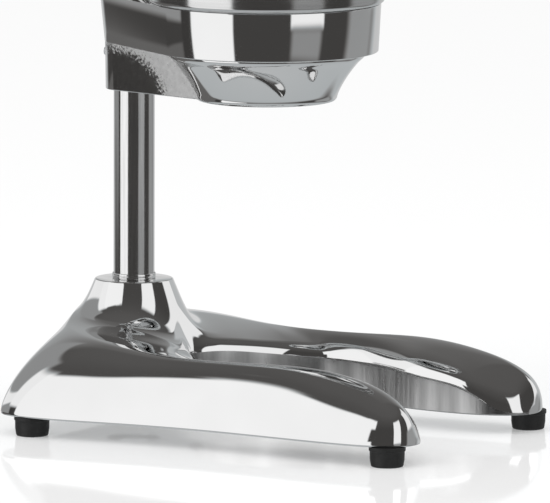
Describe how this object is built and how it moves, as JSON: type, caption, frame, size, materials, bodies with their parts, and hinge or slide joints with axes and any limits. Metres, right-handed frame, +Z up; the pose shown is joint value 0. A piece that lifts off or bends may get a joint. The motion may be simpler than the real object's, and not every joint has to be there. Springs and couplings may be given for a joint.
{
  "type": "lever citrus juice press",
  "caption": "Lever citrus press: U-shaped chrome foot, steel post with rack, funnel ring with bowl and ribbed cone, and a sliding head with dome and toothed lever.",
  "frame": {"origin": "on the ground under the middle of the outline", "axes": "+Z up along the post, -Y towards the open ends of the legs, +X to the right of someone who faces the press"},
  "size_m": [0.164, 0.2276, 0.5802],
  "materials": {
    "chrome": "mirror-polished chrome plate on castings",
    "polished_steel": "polished steel bar",
    "brushed_steel": "brushed stainless sheet",
    "cast_aluminium": "satin cast aluminium",
    "zinc_steel": "zinc-plated fasteners",
    "brass": "turned brass bush",
    "black_rubber": "moulded black rubber",
    "black_plastic": "moulded black plastic"
  },
  "bodies": {
    "stand": {"base_casting": "chrome", "foot_front_left": "black_rubber", "foot_front_right": "black_rubber", "foot_rear_left": "black_rubber", "foot_rear_right": "black_rubber", "foot_screw_front_left": "zinc_steel", "foot_screw_front_right": "zinc_steel", "foot_screw_rear_left": "zinc_steel", "foot_screw_rear_right": "zinc_steel", "column": "polished_steel", "column_foot_ring": "polished_steel", "column_washer": "zinc_steel", "column_bolt": "zinc_steel", "funnel_bracket": "chrome", "bracket_set_screw": "zinc_steel", "strainer_bowl": "brushed_steel", "reamer_cone": "cast_aluminium", "stop_collar": "polished_steel", "stop_collar_screw": "zinc_steel", "stop_buffer": "black_rubber", "column_cap": "chrome", "column_cap_screw": "zinc_steel"},
    "head": {"press_head": "chrome", "upper_bush": "brass", "lower_bush": "brass", "guide_screw": "zinc_steel", "press_bell": "cast_aluminium", "bell_washer": "zinc_steel", "bell_bolt": "zinc_steel", "pivot_pin": "polished_steel", "pivot_washer_right": "zinc_steel", "pivot_nut_right": "chrome", "pivot_washer_left": "zinc_steel", "pivot_nut_left": "chrome"},
    "lever": {"lever_arm": "chrome", "lever_bush": "brass", "lever_ferrule": "chrome", "lever_grip": "black_plastic", "grip_end_nut": "chrome"}
  },
  "joints": [
    {"name": "head_slide", "type": "slide", "parent": "stand", "child": "head", "axis": [0, 0, -1], "range_m": [0, 0.068]},
    {"name": "lever_hinge", "type": "hinge", "parent": "head", "child": "lever", "pos_m": [0, 0.03625, 0.374], "axis": [1, 0, 0], "range_deg": [0, 114.59]}
  ],
  "couplings": [
    {"joint": "head_slide", "follows": "lever_hinge", "m_per_rad": 0.034}
  ]
}
